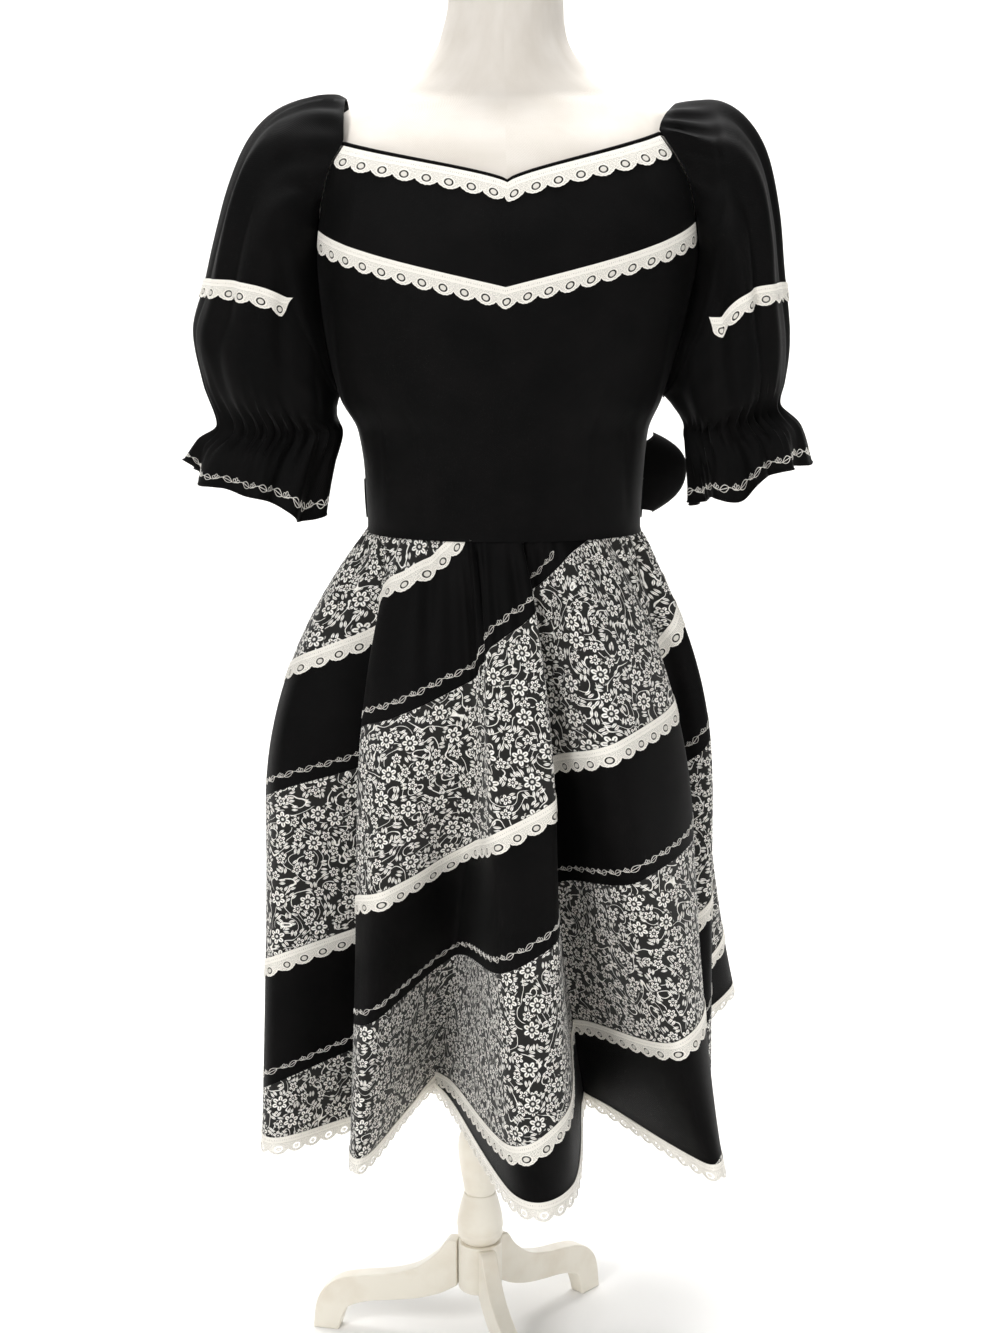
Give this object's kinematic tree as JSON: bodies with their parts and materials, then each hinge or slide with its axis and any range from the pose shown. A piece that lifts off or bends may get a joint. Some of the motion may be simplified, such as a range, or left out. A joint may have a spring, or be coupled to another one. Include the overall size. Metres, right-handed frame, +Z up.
{
  "type": "prairie dress on a dress form",
  "caption": "Short puff-sleeved dress with a spiral banded skirt, lace edgings and a back bow, on a limbless form and a turned wooden tripod stand.",
  "frame": {"origin": "on the floor under the centre of the whole's bounding box", "axes": "+Z up, the dress's front faces -Y, +X to the right of a viewer in front"},
  "size_m": [0.609, 0.5114, 1.4],
  "materials": {
    "black_cloth": "plain black cotton blend, matt",
    "print_cloth": "black cotton blend printed with small white flowers, matt",
    "lace": "white cotton lace with a scalloped edge",
    "linen": "off-white woven cover",
    "painted_wood": "cream-white satin paint"
  },
  "bodies": {
    "root": {"skirt_black_1": "black_cloth", "skirt_black_2": "black_cloth", "skirt_black_3": "black_cloth", "bodice_front": "black_cloth", "bodice_back_left": "black_cloth", "bodice_back_right": "black_cloth", "sleeve_left": "black_cloth", "sleeve_right": "black_cloth", "sash_left": "black_cloth", "sash_right": "black_cloth", "bow_knot": "black_cloth", "bow_loop_left": "black_cloth", "bow_loop_right": "black_cloth", "bow_tail_left": "black_cloth", "bow_tail_right": "black_cloth", "skirt_print_1": "print_cloth", "skirt_print_2": "print_cloth", "skirt_print_3": "print_cloth", "skirt_lace_1": "lace", "skirt_lace_2": "lace", "skirt_lace_3": "lace", "hem_lace": "lace", "yoke_lace": "lace", "neckline_lace": "lace", "sleeve_lace_left": "lace", "sleeve_lace_right": "lace", "form_torso": "linen", "pole": "painted_wood", "urn": "painted_wood", "hub": "painted_wood", "leg_front": "painted_wood", "leg_left": "painted_wood", "leg_right": "painted_wood"}
  },
  "joints": []
}
